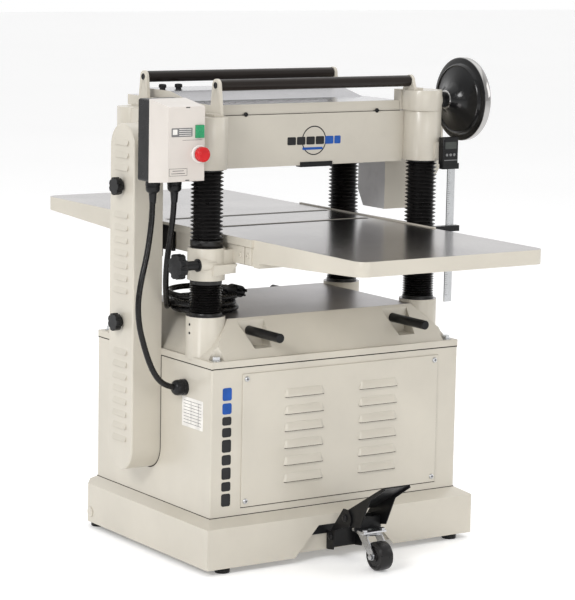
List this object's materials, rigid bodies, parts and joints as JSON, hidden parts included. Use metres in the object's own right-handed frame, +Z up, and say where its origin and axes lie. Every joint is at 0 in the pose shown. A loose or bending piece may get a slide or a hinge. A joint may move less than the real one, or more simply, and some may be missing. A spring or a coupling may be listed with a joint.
{
  "type": "thickness planer",
  "caption": "Floor-standing thickness planer with a lifting table on columns, cutterhead, handwheel, switch box, dust hood and wheeled base.",
  "frame": {"origin": "on the floor under the middle of the table", "axes": "+X along the cutterhead towards the handwheel, +Y in the direction the wood feeds, +Z up"},
  "size_m": [0.9569, 1.42, 1.176],
  "materials": {
    "cream_paint": "semi-gloss",
    "dark_grey_paint": "satin",
    "black_paint": "satin",
    "ground_iron": "ground and oiled",
    "machined_steel": "turned",
    "bellows_rubber": "matt",
    "black_plastic": "fine texture",
    "grey_sheet": "satin",
    "green_button": "gloss",
    "red_button": "gloss",
    "cord_sheath": "matt",
    "belt_rubber": "matt",
    "wheel_polymer": "satin",
    "motor_paint": "satin",
    "bright_zinc": "zinc plated",
    "roller_brown": "satin",
    "cream_cover": "semi-gloss"
  },
  "bodies": {
    "machine": {"plinth": "cream_paint", "levelling_feet": "black_plastic", "cabinet": "cream_paint", "front_panel": "cream_paint", "fasteners": "machined_steel", "base_casting": "cream_paint", "columns": "machined_steel", "lower_bellows": "bellows_rubber", "upper_bellows": "bellows_rubber", "head_casting": "cream_paint", "gear_housing": "cream_paint", "dust_hood": "grey_sheet", "roller_brackets": "cream_paint", "belt_guard": "cream_paint", "switch_box_base": "black_plastic", "switch_box_cover": "cream_cover", "cable_glands": "black_plastic", "motor_lead": "cord_sheath", "power_lead": "cord_sheath", "power_lead_coil": "cord_sheath", "power_plug": "black_plastic", "readout_housing": "black_plastic", "chain_cover": "cream_paint", "motor": "motor_paint", "drive_belts": "belt_rubber", "depth_limiter": "black_paint", "caster_bracket": "black_paint"},
    "table": {"table": "ground_iron", "infeed_extension": "ground_iron", "outfeed_extension": "ground_iron", "table_nuts": "machined_steel", "scale_bar": "machined_steel", "scale_bracket": "black_plastic"},
    "infeed_bed_roller": {"infeed_bed_roller": "machined_steel"},
    "outfeed_bed_roller": {"outfeed_bed_roller": "machined_steel"},
    "lock_knob": {"lock_knob": "black_plastic"},
    "handwheel": {"handwheel": "black_paint"},
    "handwheel_grip": {"handwheel_grip": "black_plastic"},
    "front_return_roller": {"front_return_roller": "roller_brown"},
    "rear_return_roller": {"rear_return_roller": "roller_brown"},
    "cutterhead": {"cutterhead": "machined_steel"},
    "motor_pulley": {"motor_pulley": "machined_steel"},
    "infeed_roller": {"infeed_roller": "machined_steel"},
    "outfeed_roller": {"outfeed_roller": "machined_steel"},
    "upper_guard_knob": {"upper_guard_knob": "black_plastic"},
    "lower_guard_knob": {"lower_guard_knob": "black_plastic"},
    "start_button": {"start_button": "green_button"},
    "stop_button": {"stop_button": "red_button"},
    "pedal": {"pedal": "black_paint"},
    "caster_fork": {"caster_fork": "bright_zinc"},
    "caster_wheel": {"caster_wheel": "wheel_polymer"},
    "rear_wheels": {"rear_wheels": "wheel_polymer"},
    "front_left_lifting_bar": {"front_left_lifting_bar": "black_paint"},
    "front_right_lifting_bar": {"front_right_lifting_bar": "black_paint"},
    "rear_left_lifting_bar": {"rear_left_lifting_bar": "black_paint"},
    "rear_right_lifting_bar": {"rear_right_lifting_bar": "black_paint"},
    "leadscrew_1": {"leadscrew_1": "machined_steel"},
    "leadscrew_2": {"leadscrew_2": "machined_steel"},
    "leadscrew_3": {"leadscrew_3": "machined_steel"},
    "leadscrew_4": {"leadscrew_4": "machined_steel"}
  },
  "joints": [
    {"name": "handwheel_turn", "type": "hinge", "parent": "machine", "child": "handwheel", "pos_m": [0.4, -0.164, 1.074], "axis": [1, 0, 0], "range_deg": [-4860, 12240]},
    {"name": "table_lift", "type": "slide", "parent": "machine", "child": "table", "axis": [0, 0, 1], "range_m": [-0.054, 0.136], "deforming": ["lower_bellows", "upper_bellows"]},
    {"name": "leadscrew_1_turn", "type": "hinge", "parent": "machine", "child": "leadscrew_1", "pos_m": [-0.308, -0.164, 0.8], "axis": [0, 0, 1], "range_deg": [-4860, 12240]},
    {"name": "leadscrew_2_turn", "type": "hinge", "parent": "machine", "child": "leadscrew_2", "pos_m": [0.308, -0.164, 0.8], "axis": [0, 0, 1], "range_deg": [-4860, 12240]},
    {"name": "leadscrew_3_turn", "type": "hinge", "parent": "machine", "child": "leadscrew_3", "pos_m": [-0.308, 0.164, 0.8], "axis": [0, 0, 1], "range_deg": [-4860, 12240]},
    {"name": "leadscrew_4_turn", "type": "hinge", "parent": "machine", "child": "leadscrew_4", "pos_m": [0.308, 0.164, 0.8], "axis": [0, 0, 1], "range_deg": [-4860, 12240]},
    {"name": "handwheel_grip_spin", "type": "hinge", "parent": "handwheel", "child": "handwheel_grip", "pos_m": [0.46, -0.09, 1.04], "axis": [1, 0, 0], "continuous": true},
    {"name": "infeed_bed_roller_spin", "type": "hinge", "parent": "table", "child": "infeed_bed_roller", "pos_m": [0, -0.046, 0.7643], "axis": [1, 0, 0], "continuous": true},
    {"name": "outfeed_bed_roller_spin", "type": "hinge", "parent": "table", "child": "outfeed_bed_roller", "pos_m": [0, 0.133, 0.7643], "axis": [1, 0, 0], "continuous": true},
    {"name": "lock_knob_turn", "type": "hinge", "parent": "table", "child": "lock_knob", "pos_m": [-0.4, -0.197, 0.7117], "axis": [1, 0, 0], "range_deg": [0, 270]},
    {"name": "front_return_roller_spin", "type": "hinge", "parent": "machine", "child": "front_return_roller", "pos_m": [0, -0.164, 1.122], "axis": [1, 0, 0], "continuous": true},
    {"name": "rear_return_roller_spin", "type": "hinge", "parent": "machine", "child": "rear_return_roller", "pos_m": [0, 0.164, 1.122], "axis": [1, 0, 0], "continuous": true},
    {"name": "cutterhead_spin", "type": "hinge", "parent": "machine", "child": "cutterhead", "pos_m": [0, 0.024, 0.963], "axis": [1, 0, 0], "continuous": true},
    {"name": "motor_pulley_spin", "type": "hinge", "parent": "machine", "child": "motor_pulley", "pos_m": [-0.39, 0.018, 0.265], "axis": [1, 0, 0], "continuous": true},
    {"name": "infeed_roller_spin", "type": "hinge", "parent": "machine", "child": "infeed_roller", "pos_m": [0, -0.062, 0.95], "axis": [1, 0, 0], "continuous": true},
    {"name": "outfeed_roller_spin", "type": "hinge", "parent": "machine", "child": "outfeed_roller", "pos_m": [0, 0.112, 0.95], "axis": [1, 0, 0], "continuous": true},
    {"name": "upper_guard_knob_turn", "type": "hinge", "parent": "machine", "child": "upper_guard_knob", "pos_m": [-0.45, 0.018, 0.878], "axis": [1, 0, 0], "range_deg": [0, 360]},
    {"name": "lower_guard_knob_turn", "type": "hinge", "parent": "machine", "child": "lower_guard_knob", "pos_m": [-0.45, 0.018, 0.556], "axis": [1, 0, 0], "range_deg": [0, 360]},
    {"name": "start_button_press", "type": "slide", "parent": "machine", "child": "start_button", "axis": [0, 1, 0], "range_m": [0, 0.003], "stiffness_N_per_m": 500},
    {"name": "stop_button_press", "type": "slide", "parent": "machine", "child": "stop_button", "axis": [0, 1, 0], "range_m": [0, 0.005], "stiffness_N_per_m": 600},
    {"name": "pedal_press", "type": "hinge", "parent": "machine", "child": "pedal", "pos_m": [0.006, -0.362, 0.113], "axis": [1, 0, 0], "range_deg": [0, 10]},
    {"name": "caster_swivel", "type": "hinge", "parent": "pedal", "child": "caster_fork", "pos_m": [0.006, -0.402, 0.08], "axis": [0, 0, 1], "continuous": true},
    {"name": "caster_roll", "type": "hinge", "parent": "caster_fork", "child": "caster_wheel", "pos_m": [0.006, -0.446, 0.0355], "axis": [1, 0, 0], "continuous": true},
    {"name": "rear_wheels_roll", "type": "hinge", "parent": "machine", "child": "rear_wheels", "pos_m": [0, 0.248, 0.0395], "axis": [1, 0, 0], "continuous": true},
    {"name": "front_left_lifting_bar_slide", "type": "slide", "parent": "machine", "child": "front_left_lifting_bar", "axis": [0, 1, 0], "range_m": [0, 0.105]},
    {"name": "front_right_lifting_bar_slide", "type": "slide", "parent": "machine", "child": "front_right_lifting_bar", "axis": [0, 1, 0], "range_m": [0, 0.105]},
    {"name": "rear_left_lifting_bar_slide", "type": "slide", "parent": "machine", "child": "rear_left_lifting_bar", "axis": [0, -1, 0], "range_m": [0, 0.105]},
    {"name": "rear_right_lifting_bar_slide", "type": "slide", "parent": "machine", "child": "rear_right_lifting_bar", "axis": [0, -1, 0], "range_m": [0, 0.105]}
  ],
  "couplings": [
    {"joint": "table_lift", "follows": "handwheel_turn", "m_per_rad": 0.00063662},
    {"joint": "leadscrew_1_turn", "follows": "handwheel_turn", "ratio": 1},
    {"joint": "leadscrew_2_turn", "follows": "handwheel_turn", "ratio": 1},
    {"joint": "leadscrew_3_turn", "follows": "handwheel_turn", "ratio": 1},
    {"joint": "leadscrew_4_turn", "follows": "handwheel_turn", "ratio": 1},
    {"joint": "motor_pulley_spin", "follows": "cutterhead_spin", "ratio": 0.85106},
    {"joint": "infeed_roller_spin", "follows": "cutterhead_spin", "ratio": -0.02},
    {"joint": "outfeed_roller_spin", "follows": "cutterhead_spin", "ratio": -0.02}
  ]
}
